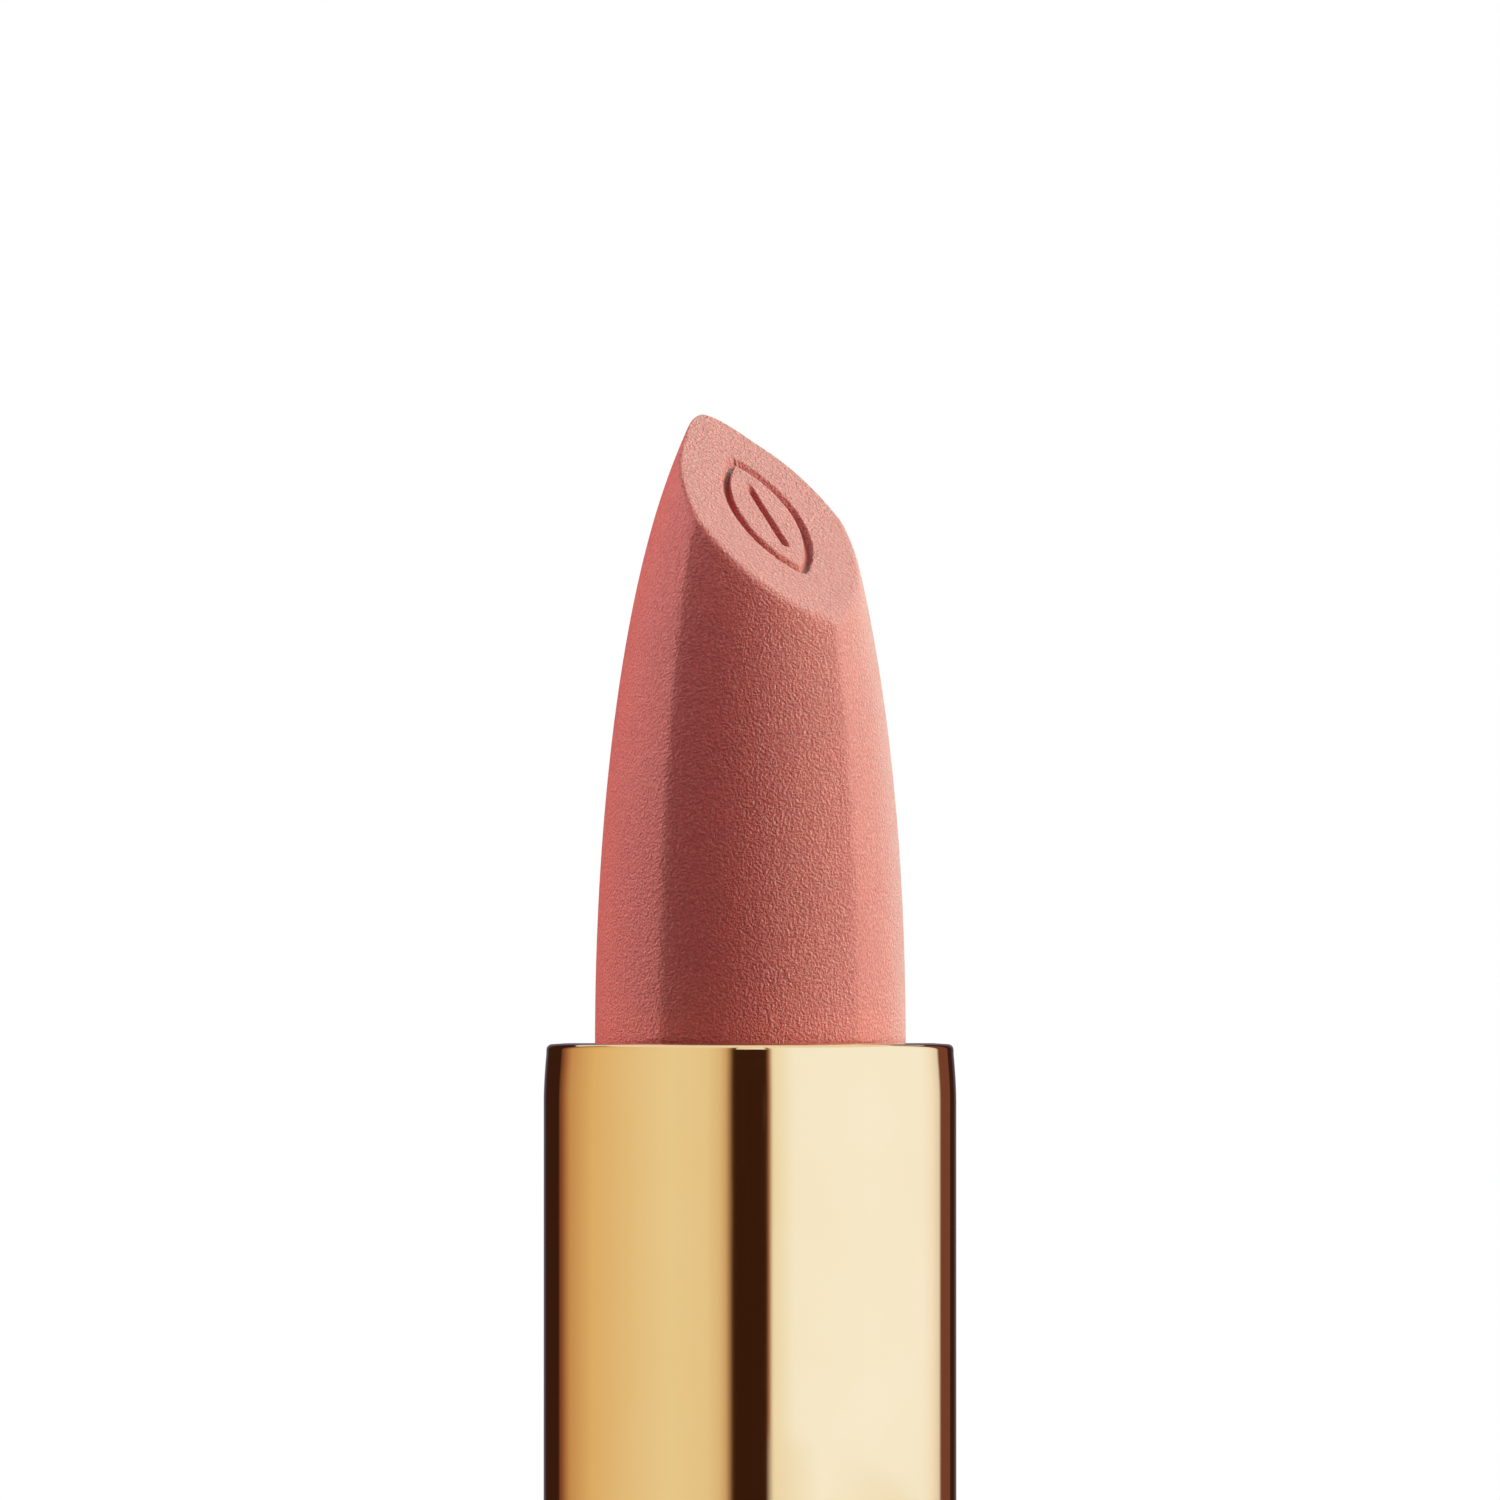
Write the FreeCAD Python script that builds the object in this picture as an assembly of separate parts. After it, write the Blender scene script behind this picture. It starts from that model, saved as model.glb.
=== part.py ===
"""Twist-up lipstick case with its bullet raised and its cap standing beside it.

Millimetres, +Z up. The origin is the centre of the base's underside, on the twist axis.
The front of the case faces -Y. Each sub-part is written to parts/NODE.step.
"""

import FreeCAD
import Part

import math
import os

V = FreeCAD.Vector
UP = V(0, 0, 1)

# ---- Driving dimensions -------------------------------------------------------------------

RUN_GAP = 0.05  # radial clearance between pieces that turn or slide on each other
PRESS_GAP = 0.02  # radial clearance left between pieces that are glued or pressed together

BULLET_R = 6.05  # the common 12.1 mm lipstick bullet
ROOT_R = BULLET_R - 0.03  # radius of the root that stands in the cup
TRAVEL = 26.0  # how far the carrier rises
TWIST_TURNS = 1.25  # turns of the sleeve for that travel

CASE_R = 9.8  # outside of the base and the cap
SHELL_WALL = 0.45  # drawn aluminium of the base and cap shells
BASE_SHELL_H = 26.0
COLLAR_H = 1.5
SLEEVE_SHOWN = 24.5  # height of sleeve above the base

SLEEVE_R = 8.05
SLEEVE_WALL = 0.35
SLEEVE_STEP = 0.1  # the hidden part of the sleeve is this much slimmer, so a shoulder hides the gap
CAP_H = 46.5
CAP_X, CAP_Y = 44.0, 41.0  # where the cap stands, to the right of the case and behind it

# ---- Dimensions worked out from them ------------------------------------------------------

BASE_H = BASE_SHELL_H + COLLAR_H
RIM_Z = BASE_H + SLEEVE_SHOWN

CUP_WALL = 0.35
CUP_R = BULLET_R + CUP_WALL
CUP_FLOOR = 1.0
CUP_DEPTH = 8.5  # length of bullet held in the cup
BELOW_RIM = 0.6  # the cup and the guide end this far below the sleeve's rim
CUP_TOP_Z = RIM_Z - BELOW_RIM
CUP_Z = CUP_TOP_Z - CUP_DEPTH - CUP_FLOOR
LUG_R = 0.8
LUG_RISE = 2.0  # the lugs' axis above the cup's underside
LUG_Z = CUP_Z + LUG_RISE

GUIDE_IN = CUP_R + RUN_GAP
GUIDE_WALL = 0.5
GUIDE_OUT = GUIDE_IN + GUIDE_WALL
GUIDE_Z = 12.0
GUIDE_TOP_Z = RIM_Z - BELOW_RIM
GUIDE_FLOOR_H = 1.0
FLANGE_R = 8.4
FLANGE_H = 1.4

SPIRAL_IN = GUIDE_OUT + RUN_GAP
SPIRAL_OUT = SLEEVE_R - SLEEVE_WALL - RUN_GAP
SPIRAL_SKIN = 0.2  # plastic left outside the helical grooves
GROOVE_R = SPIRAL_OUT - SPIRAL_SKIN
LUG_REACH = GROOVE_R - RUN_GAP
GROOVE_HALF = LUG_R + 0.1  # half the width of a slot or groove
GROOVE_PAST = 10.0  # degrees of helical groove beyond the lug's end places

WASHER_H = 0.6
END_PLAY = 0.03
SPIRAL_Z = GUIDE_Z + FLANGE_H + WASHER_H + END_PLAY
SPIRAL_BELOW_RIM = 1.8
SPIRAL_TOP_Z = RIM_Z - SPIRAL_BELOW_RIM
SLEEVE_Z = SPIRAL_Z

SHELL_IN = CASE_R - SHELL_WALL
LINER_OUT = SHELL_IN - PRESS_GAP
LINER_WALL = 0.7
RIB_COUNT = 12
RIB_W = 0.8
WEIGHT_CHAMFER = 0.4


def save(name, shape):
    """Writes one sub-part, after checking that each of its solids is closed and valid."""
    for solid in shape.Solids:
        assert solid.isValid() and solid.isClosed() and solid.Volume > 0, name
    shape.exportStep(os.path.join("parts", name + ".step"))
    print(f"{name}: {len(shape.Solids)} solid, {shape.Volume:.1f} mm3")


def tube(r_out, r_in, z0, z1):
    """A plain ring or tube about the twist axis."""
    outer = Part.makeCylinder(r_out, z1 - z0, V(0, 0, z0))
    return outer.cut(Part.makeCylinder(r_in, z1 - z0, V(0, 0, z0)))


def disc(r, z0, z1):
    return Part.makeCylinder(r, z1 - z0, V(0, 0, z0))


def turned(edges):
    """A solid turned about the Z axis from a closed outline of edges in the XZ plane."""
    face = Part.Face(Part.Wire(Part.__sortEdges__(edges)))
    return face.revolve(V(0, 0, 0), UP, 360)


def outline(points):
    """Straight edges joining (r, z) points in order, without the closing edge."""
    corners = [V(r, 0, z) for r, z in points]
    return [Part.makeLine(a, b) for a, b in zip(corners, corners[1:])]


def arc(start, middle, end):
    """A circular edge through three (r, z) points."""
    a, b, c = (V(r, 0, z) for r, z in (start, middle, end))
    return Part.Arc(a, b, c).toShape()


def round_edges(shape, radius, is_wanted):
    """Fillets the circular edges that is_wanted(radius, z) picks."""
    picked = []
    for edge in shape.Edges:
        curve = edge.Curve
        if isinstance(curve, Part.Circle) and is_wanted(curve.Radius, curve.Center.z):
            picked.append(edge)
    return shape.makeFillet(radius, picked)


def break_edges(shape, size):
    """Chamfers every circular edge."""
    return shape.makeChamfer(size, [e for e in shape.Edges if isinstance(e.Curve, Part.Circle)])


def spokes(count, r_in, r_out, width, z0, z1):
    """Upright ribs standing radially round the axis."""
    rib = Part.makeBox(r_out - r_in, width, z1 - z0, V(r_in, -width / 2, z0))
    step = 360.0 / count
    ribs = []
    for i in range(count):
        copy = rib.copy()
        copy.rotate(V(0, 0, 0), UP, i * step)
        ribs.append(copy)
    return ribs


# ---- Base: what the hand holds ------------------------------------------------------------

LABEL_R = 7.2
LABEL_T = 0.15
BASE_FLOOR = 0.6
BASE_EDGE = 0.7
COLLAR_EDGE = 0.25
COLLAR_BORE_EDGE = 0.15
WAIST_R = 0.3  # radius of the round waist line
WAIST_OUT = 0.12  # the waist's centre stands this far outside the collar
WEIGHT_Z = BASE_FLOOR + 0.4  # a bed of glue lies under it
WEIGHT_H = 7.0
WEIGHT_HOLE_R = 2.5
LINER_FLOOR_H = 1.2
LINER_RELIEF = 0.25  # between its ribs the liner stands this far off the shell
LINER_END = 3.0  # length without relief at each end
RIB_ROOT = 0.4  # radial depth of a rib
RING_H = 0.8
RING_CHAMFER = 0.1
RING_SIDE_GAP = 0.2


def base_shell():
    """Drawn metal cup with a rounded foot and a shallow seat for the label underneath."""
    body = disc(CASE_R, 0, BASE_SHELL_H)
    body = round_edges(body, BASE_EDGE, lambda r, z: z < 0.01)
    body = body.cut(disc(SHELL_IN, BASE_FLOOR, BASE_SHELL_H))
    return body.cut(disc(LABEL_R + RUN_GAP, 0, LABEL_T))


def shade_label():
    """Blank round paper label, flush with the foot."""
    return disc(LABEL_R, 0, LABEL_T)


def base_weight():
    """Turned steel slug that gives the base its heft, with its edges broken."""
    slug = tube(LINER_OUT - LINER_WALL - PRESS_GAP, WEIGHT_HOLE_R, WEIGHT_Z, WEIGHT_Z + WEIGHT_H)
    return break_edges(slug, WEIGHT_CHAMFER)


def base_liner():
    """Moulded liner: a skirt round the weight, a floor, and a seat for the guide's flange."""
    floor_z = GUIDE_Z - LINER_FLOOR_H
    bore = LINER_OUT - LINER_WALL
    low, high = GUIDE_Z + LINER_END, BASE_SHELL_H - LINER_END
    body = disc(LINER_OUT, BASE_FLOOR + PRESS_GAP, BASE_SHELL_H - PRESS_GAP)
    body = body.cut(disc(bore, BASE_FLOOR, floor_z))
    body = body.cut(disc(FLANGE_R + PRESS_GAP, GUIDE_Z, GUIDE_Z + FLANGE_H))
    body = body.cut(disc(bore, GUIDE_Z + FLANGE_H, BASE_SHELL_H))
    relief = tube(CASE_R + 1, LINER_OUT - LINER_RELIEF, low, high)
    ribs = spokes(RIB_COUNT, LINER_OUT - RIB_ROOT, LINER_OUT, RIB_W, low, high)
    return body.cut(relief).fuse(ribs).removeSplitter()


def collar(z0, bore):
    """Bright trim ring with a fine waist line, closing the end of a shell."""
    z1 = z0 + COLLAR_H
    body = tube(CASE_R, bore, z0, z1)
    body = round_edges(body, COLLAR_EDGE, lambda r, z: abs(r - CASE_R) < 0.01)
    body = round_edges(body, COLLAR_BORE_EDGE, lambda r, z: abs(r - bore) < 0.01)
    waist = Part.makeTorus(CASE_R + WAIST_OUT, WAIST_R, V(0, 0, (z0 + z1) / 2))
    return body.cut(waist)


def guide_tube():
    """Inner body: its two upright slots keep the carrier's lugs from turning."""
    body = tube(GUIDE_OUT, GUIDE_IN, GUIDE_Z, GUIDE_TOP_Z)
    body = body.fuse(tube(FLANGE_R, GUIDE_IN, GUIDE_Z, GUIDE_Z + FLANGE_H))
    body = body.fuse(disc(FLANGE_R, GUIDE_Z, GUIDE_Z + GUIDE_FLOOR_H)).removeSplitter()
    low, high = LUG_Z - TRAVEL, LUG_Z
    reach = 2 * GUIDE_OUT
    slot = Part.makeBox(2 * reach, 2 * GROOVE_HALF, TRAVEL, V(-reach, -GROOVE_HALF, low))
    across = V(1, 0, 0)
    ends = [Part.makeCylinder(GROOVE_HALF, 2 * reach, V(-reach, 0, z), across) for z in (low, high)]
    return body.cut([slot] + ends)


def friction_washer():
    """Elastomer washer between the guide's flange and the spiral: it gives the twist its drag."""
    z0 = GUIDE_Z + FLANGE_H
    return tube(SPIRAL_OUT, GUIDE_OUT + PRESS_GAP, z0, z0 + WASHER_H)


def retaining_ring():
    """Pressed ring at the top of the guide that stops the sleeve lifting off."""
    z0 = SPIRAL_TOP_Z + RUN_GAP
    ring = tube(SLEEVE_R - SLEEVE_WALL - RING_SIDE_GAP, GUIDE_OUT + PRESS_GAP, z0, z0 + RING_H)
    return break_edges(ring, RING_CHAMFER)


# ---- Sleeve: what the fingers turn --------------------------------------------------------

RIM_TAPER = 0.1  # how far the wall draws in towards the rim
RIM_TAPER_H = 2.2
RIM_ROUND = 0.26
RIM_CROWN = 0.1
LIP_IN = 6.6
LIP_T = 0.35
LIP_NOSE = 0.18  # radial depth of the lip's round nose
LIP_LAND = 0.5  # the lip's flat top starts this far out from its nose
STEP_BREAK = 0.02  # broken corner of the shoulder
UNDER_LEDGE = 0.6  # width of the slope under the rolled rim
UNDER_FLAT = 0.12
UNDER_TOE = 0.1
UNDER_DROP = 0.3


def sleeve_shell():
    """Bright drawn sleeve. Its wall draws in slightly and rolls over into a narrow lip."""
    inner = SLEEVE_R - SLEEVE_WALL
    hidden = SLEEVE_R - SLEEVE_STEP
    shoulder = BASE_H + RUN_GAP
    taper_z = RIM_Z - RIM_TAPER_H
    neck_r = SLEEVE_R - RIM_TAPER
    neck_z = RIM_Z - RIM_CROWN - RIM_ROUND
    corner = RIM_ROUND * (1 - math.sqrt(0.5))
    crown = (neck_r - RIM_ROUND, RIM_Z - RIM_CROWN)
    land = (LIP_IN + LIP_LAND, RIM_Z)
    nose_top = (LIP_IN + LIP_NOSE, RIM_Z - STEP_BREAK)
    nose_low = (LIP_IN + LIP_NOSE, RIM_Z - LIP_T)
    under_z = RIM_Z - LIP_T - RIM_CROWN

    foot = [(inner, SLEEVE_Z), (hidden, SLEEVE_Z), (hidden, shoulder), (SLEEVE_R - STEP_BREAK, shoulder)]
    edges = outline(foot + [(SLEEVE_R, shoulder + STEP_BREAK), (SLEEVE_R, taper_z)])
    bow = ((SLEEVE_R + neck_r) / 2 + RIM_TAPER / 5, RIM_Z - RIM_TAPER_H / 2)
    edges.append(arc((SLEEVE_R, taper_z), bow, (neck_r, neck_z)))
    edges.append(arc((neck_r, neck_z), (neck_r - corner, neck_z + RIM_ROUND - corner), crown))
    crown_mid = ((crown[0] + land[0]) / 2, RIM_Z - RIM_CROWN * 0.3)
    edges.append(arc(crown, crown_mid, land))
    edges += outline([land, nose_top])
    edges.append(arc(nose_top, (LIP_IN, RIM_Z - LIP_T / 2 - STEP_BREAK / 2), nose_low))
    under = [nose_low, (inner - UNDER_LEDGE, RIM_Z - LIP_T), (inner - UNDER_FLAT, under_z)]
    under += [(inner - UNDER_TOE, neck_z - UNDER_DROP), (inner, taper_z), (inner, SLEEVE_Z)]
    edges += outline(under)
    return turned(edges)


GROOVE_OVERCUT = 0.3  # the cutter starts this far inside the spiral's bore


def helical_groove():
    """One groove cutter: a rectangle swept up a helix, a little past the lug's two end places."""
    pitch = TRAVEL / TWIST_TURNS
    past = pitch * GROOVE_PAST / 360
    climb = math.atan2(pitch, 2 * math.pi * SPIRAL_IN)
    half = GROOVE_HALF / math.cos(climb)
    helix = Part.makeHelix(pitch, TRAVEL + 2 * past, SPIRAL_IN)
    r0, r1 = SPIRAL_IN - GROOVE_OVERCUT, GROOVE_R
    corners = [V(r0, 0, -half), V(r1, 0, -half), V(r1, 0, half), V(r0, 0, half)]
    profile = Part.makePolygon(corners + corners[:1])
    cutter = Part.Wire(helix.Edges).makePipeShell([profile], True, True)
    cutter.translate(V(0, 0, LUG_Z - TRAVEL - past))
    return cutter


def cam_spiral():
    """Spiral: two helical grooves inside it drive the carrier's lugs up and down."""
    body = tube(SPIRAL_OUT, SPIRAL_IN, SPIRAL_Z, SPIRAL_TOP_Z)
    groove = helical_groove()
    groove.rotate(V(0, 0, 0), UP, -360.0 * TWIST_TURNS - GROOVE_PAST)
    opposite = groove.copy()
    opposite.rotate(V(0, 0, 0), UP, 180)
    return body.cut([groove, opposite])


# ---- Carrier and bullet -------------------------------------------------------------------

RIDGE_SPAN = 74.0  # from the front ridge to each side ridge, in degrees
BULLET_TURN = 41.0  # the front ridge stands this far to the right of straight ahead
OGIVE_H = 26.0  # half length of the ellipse that the bullet's sides follow
BACK_OGIVE_H = 27.5  # the same for the back ridge, which stays fuller towards the tip
FACET_DEPTH = 0.06  # how much flatter a facet's middle is than its ridges
FACET_DEPTH_LOW = 0.045  # the same at the rim
SLANT = 1.06  # fall of the slanted face per unit of run
SLANT_H = 21.65  # height at which the slanted face's plane meets the axis
FACET_FADE_H = 10.0  # the facets reach full depth this far above the rim
SECTION_HEIGHTS = [0, 2, 5, 8, 11, 14, 17, 20, 23, 25.4]  # of the loft, above the rim


def ogive(h, half_length):
    return BULLET_R * math.sqrt(1 - (h / half_length) ** 2)


def facet_depth(h):
    """Facets are faint at the rim and reach their full depth some way up."""
    t = min(max(h / FACET_FADE_H, 0.0), 1.0)
    return FACET_DEPTH_LOW + (FACET_DEPTH - FACET_DEPTH_LOW) * t * t * (3 - 2 * t)


def bullet_section(h):
    """Closed wire of four bowed facets between four ridges, at height h above the rim."""

    def at(angle, r):
        a = math.radians(angle)
        return V(r * math.sin(a), -r * math.cos(a), RIM_Z + h)

    flat = 1 - facet_depth(h)
    middle = ogive(h, OGIVE_H)
    ridge = middle / flat
    back = ridge + (ogive(h, BACK_OGIVE_H) - middle) / flat
    side = (180 + RIDGE_SPAN) / 2
    stops = [(0, ridge), (RIDGE_SPAN / 2, middle), (RIDGE_SPAN, ridge), (side, middle), (180, back)]
    stops += [(360 - side, middle), (360 - RIDGE_SPAN, ridge), (360 - RIDGE_SPAN / 2, middle), (0, ridge)]
    points = [at(angle, r) for angle, r in stops]
    arcs = [Part.Arc(*points[i : i + 3]).toShape() for i in range(0, 8, 2)]
    return Part.Wire(arcs)


MOTIF_RUN = 1.0  # the motif's centre lies this far in front of the axis
EMBOSS_HALF_L = 3.0
EMBOSS_HALF_W = 1.5
EMBOSS_STROKE = 0.3
EMBOSS_DEPTH = 0.28


def on_slant(shape):
    """Places a shape drawn flat about the origin (Y down the slope) on the slanted face."""
    tilt = math.degrees(math.atan(SLANT))
    shape.rotate(V(0, 0, 0), V(1, 0, 0), tilt)
    shape.translate(V(0, -MOTIF_RUN, RIM_Z + SLANT_H - SLANT * MOTIF_RUN))
    return shape


def slant_motif():
    """Plain pressed motif: a pointed oval outline with a short line down its middle."""
    radius = (EMBOSS_HALF_L**2 + EMBOSS_HALF_W**2) / (2 * EMBOSS_HALF_W)
    sweep = 2 * math.degrees(math.asin(EMBOSS_HALF_L / radius))
    low, tall = -EMBOSS_DEPTH, EMBOSS_DEPTH + 1
    cuts = []
    for side in (1, -1):
        centre = V(-side * (radius - EMBOSS_HALF_W), 0, low)
        outer = Part.makeCylinder(radius + EMBOSS_STROKE / 2, tall, centre, UP, sweep)
        inner = Part.makeCylinder(radius - EMBOSS_STROKE / 2, tall, centre, UP, 360)
        stroke = outer.cut(inner)
        middle = 0 if side > 0 else 180
        stroke.rotate(centre, UP, middle - sweep / 2)
        cuts.append(stroke)
    vein = Part.makeBox(EMBOSS_STROKE, EMBOSS_HALF_L, tall, V(-EMBOSS_STROKE / 2, -EMBOSS_HALF_L / 2, low))
    cuts.append(vein)
    return [on_slant(c) for c in cuts]


def raised_bullet():
    body = Part.makeLoft([bullet_section(h) for h in SECTION_HEIGHTS], True, False)
    reach = 2 * CASE_R
    above = Part.makeBox(2 * reach, 2 * reach, reach, V(-reach, -reach, 0))
    body = body.cut(on_slant(above))
    body = body.cut(slant_motif())
    body.rotate(V(0, 0, 0), UP, BULLET_TURN)
    return body


CUP_BORE_R = ROOT_R + 0.01
CUP_VENT_R = 1.0
LUG_ROOT = 0.2  # the lugs start this far inside the cup's wall
GRIP_BITE = 0.35  # the grip ribs reach this far into the bullet
GRIP_W = 0.5
GRIP_BELOW_TOP = 2.0


def carrier_cup():
    """Cup with two lugs, four grip ribs inside it, and a vent hole in its floor."""
    floor_z = CUP_Z + CUP_FLOOR
    low, high = LUG_Z - 2 * LUG_R, LUG_Z + 2 * LUG_R
    body = disc(CUP_R, CUP_Z, CUP_TOP_Z)
    body = body.cut(disc(CUP_BORE_R, floor_z, CUP_TOP_Z))
    body = body.cut(disc(CUP_VENT_R, CUP_Z, floor_z))
    lugs = Part.makeCylinder(LUG_R, 2 * LUG_REACH, V(-LUG_REACH, 0, LUG_Z), V(1, 0, 0))
    lugs = lugs.common(disc(LUG_REACH, low, high)).cut(disc(CUP_R - LUG_ROOT, low, high))
    rib_out = BULLET_R + 0.1
    ribs = spokes(4, BULLET_R - GRIP_BITE, rib_out, GRIP_W, floor_z, CUP_TOP_Z - GRIP_BELOW_TOP)
    for rib in ribs:
        rib.rotate(V(0, 0, 0), UP, 45)
    return body.fuse([lugs] + ribs).removeSplitter()


def bullet(cup):
    """The whole bullet: what shows, and the root that fills the cup round its ribs."""
    root = disc(ROOT_R, CUP_Z + CUP_FLOOR, RIM_Z)
    return root.fuse(raised_bullet()).cut(cup).removeSplitter()


# ---- Cap ----------------------------------------------------------------------------------

CAP_EDGE = 0.8
CAP_TOP_T = 0.9
PLATE_R = 7.6
PLATE_T = 0.4
CAP_BORE = 8.2
CAP_DEPTH = 38.0
CAP_WEIGHT_H = 4.0
CAP_WEIGHT_GAP = 0.5
PLATE_EDGE = 0.12
PLATE_SINK = 0.05  # the plate's top lies this far below the crown
LINER_ROOF = 1.0
LINER_FOOT_H = 2.0  # the liner's lower flange ends this far above the collar
RIB_START = 1.0  # the ribs start this far above the collar, inside the flange
RIB_SHORT = 0.5  # and end this far below the liner's top
RIB_OVERLAP = 0.2  # the ribs start this far inside the liner's wall


def cap_shell():
    """Drawn metal cap with a rounded crown and a shallow seat for its top plate."""
    body = disc(CASE_R, COLLAR_H, CAP_H)
    body = round_edges(body, CAP_EDGE, lambda r, z: z > CAP_H - 0.01)
    body = body.cut(disc(SHELL_IN, COLLAR_H, CAP_H - CAP_TOP_T))
    return body.cut(disc(PLATE_R + RUN_GAP, CAP_H - PLATE_T, CAP_H))


def cap_top_plate():
    plate = disc(PLATE_R, CAP_H - PLATE_T, CAP_H - PLATE_SINK)
    return round_edges(plate, PLATE_EDGE, lambda r, z: z > CAP_H - 2 * PLATE_SINK)


def cap_liner():
    """Moulded liner that slides over the sleeve, held in the shell by ribs and two flanges."""
    top_z = CAP_DEPTH + LINER_ROOF
    wall = CAP_BORE + LINER_WALL
    body = disc(wall, COLLAR_H + PRESS_GAP, top_z)
    body = body.fuse(disc(LINER_OUT, COLLAR_H + PRESS_GAP, COLLAR_H + LINER_FOOT_H))
    body = body.fuse(disc(LINER_OUT, top_z - LINER_ROOF, top_z))
    rib_low, rib_high = COLLAR_H + RIB_START, top_z - RIB_SHORT
    body = body.fuse(spokes(RIB_COUNT, wall - RIB_OVERLAP, LINER_OUT, RIB_W, rib_low, rib_high))
    body = body.cut(disc(CAP_BORE, COLLAR_H, CAP_DEPTH))
    return body.removeSplitter()


def cap_weight():
    """Steel disc between the liner and the crown."""
    z0 = CAP_DEPTH + LINER_ROOF + PRESS_GAP
    slug = disc(SHELL_IN - CAP_WEIGHT_GAP, z0, z0 + CAP_WEIGHT_H)
    return break_edges(slug, WEIGHT_CHAMFER)


def beside(shape):
    """Moves a cap piece from the twist axis to where the cap stands."""
    shape.translate(V(CAP_X, CAP_Y, 0))
    return shape


def main():
    os.makedirs("parts", exist_ok=True)
    cup = carrier_cup()
    save("base_shell", base_shell())
    save("shade_label", shade_label())
    save("base_weight", base_weight())
    save("base_liner", base_liner())
    save("base_collar", collar(BASE_SHELL_H, SLEEVE_R - SLEEVE_STEP + RUN_GAP))
    save("guide_tube", guide_tube())
    save("friction_washer", friction_washer())
    save("retaining_ring", retaining_ring())
    save("sleeve_shell", sleeve_shell())
    save("cam_spiral", cam_spiral())
    save("carrier_cup", cup)
    save("bullet", bullet(cup))
    save("cap_shell", beside(cap_shell()))
    save("cap_top_plate", beside(cap_top_plate()))
    save("cap_liner", beside(cap_liner()))
    save("cap_weight", beside(cap_weight()))
    save("cap_collar", beside(collar(0, CAP_BORE + 0.1)))


main()
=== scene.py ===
"""Studio picture of the twist-up lipstick case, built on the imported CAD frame."""

import math

import bpy
import numpy as np
from mathutils import Matrix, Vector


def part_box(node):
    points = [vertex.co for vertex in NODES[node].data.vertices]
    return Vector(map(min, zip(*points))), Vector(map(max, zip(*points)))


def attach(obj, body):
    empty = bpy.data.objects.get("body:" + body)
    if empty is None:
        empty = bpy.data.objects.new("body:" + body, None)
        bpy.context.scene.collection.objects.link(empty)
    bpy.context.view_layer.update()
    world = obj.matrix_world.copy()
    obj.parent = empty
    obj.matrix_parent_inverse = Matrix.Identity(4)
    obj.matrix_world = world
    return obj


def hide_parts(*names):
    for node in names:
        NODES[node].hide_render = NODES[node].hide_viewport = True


MM = 0.001
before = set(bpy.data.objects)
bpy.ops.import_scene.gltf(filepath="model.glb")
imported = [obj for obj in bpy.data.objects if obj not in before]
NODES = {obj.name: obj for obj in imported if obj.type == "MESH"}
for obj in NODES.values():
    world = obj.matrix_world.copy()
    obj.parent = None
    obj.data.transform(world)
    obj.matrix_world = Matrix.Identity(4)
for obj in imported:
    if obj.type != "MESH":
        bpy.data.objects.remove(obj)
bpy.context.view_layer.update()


def span(node):
    """Lowest and highest corner of a CAD node, in millimetres."""
    low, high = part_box(node)
    return np.array(low) / MM, np.array(high) / MM


SLEEVE_LOW, SLEEVE_HIGH = span("sleeve_shell")
SLEEVE_R = (SLEEVE_HIGH[0] - SLEEVE_LOW[0]) / 2
RIM_Z = SLEEVE_HIGH[2]
BASE_LOW, BASE_HIGH = span("base_shell")
CASE_R = (BASE_HIGH[0] - BASE_LOW[0]) / 2
COLLAR_LOW, COLLAR_HIGH = span("base_collar")
CUP_LOW = span("carrier_cup")[0]
CUP_FLOOR = 1.0
CAP_LOW, CAP_HIGH = span("cap_shell")
CAP_CENTRE = ((CAP_LOW[0] + CAP_HIGH[0]) / 2, (CAP_LOW[1] + CAP_HIGH[1]) / 2)
RUN_GAP = 0.05  # clearance between pieces that turn on each other
SLEEVE_STEP = 0.1  # the sleeve is this much slimmer inside the base
BASE_BORE = SLEEVE_R - SLEEVE_STEP + RUN_GAP
CAP_PLAY = 0.25  # clearance between the sleeve and the cap's collar
CAP_BORE = SLEEVE_R + CAP_PLAY
PLATE_LOW, PLATE_HIGH = span("cap_top_plate")
PLATE_R = (PLATE_HIGH[0] - PLATE_LOW[0]) / 2


# ---- Shader helpers -----------------------------------------------------------------------

# Places of the colour sockets on a Mix node, whose socket names repeat for each data type.
MIX_A, MIX_B = 6, 7
MIX_COLOUR_OUT = 2


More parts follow.
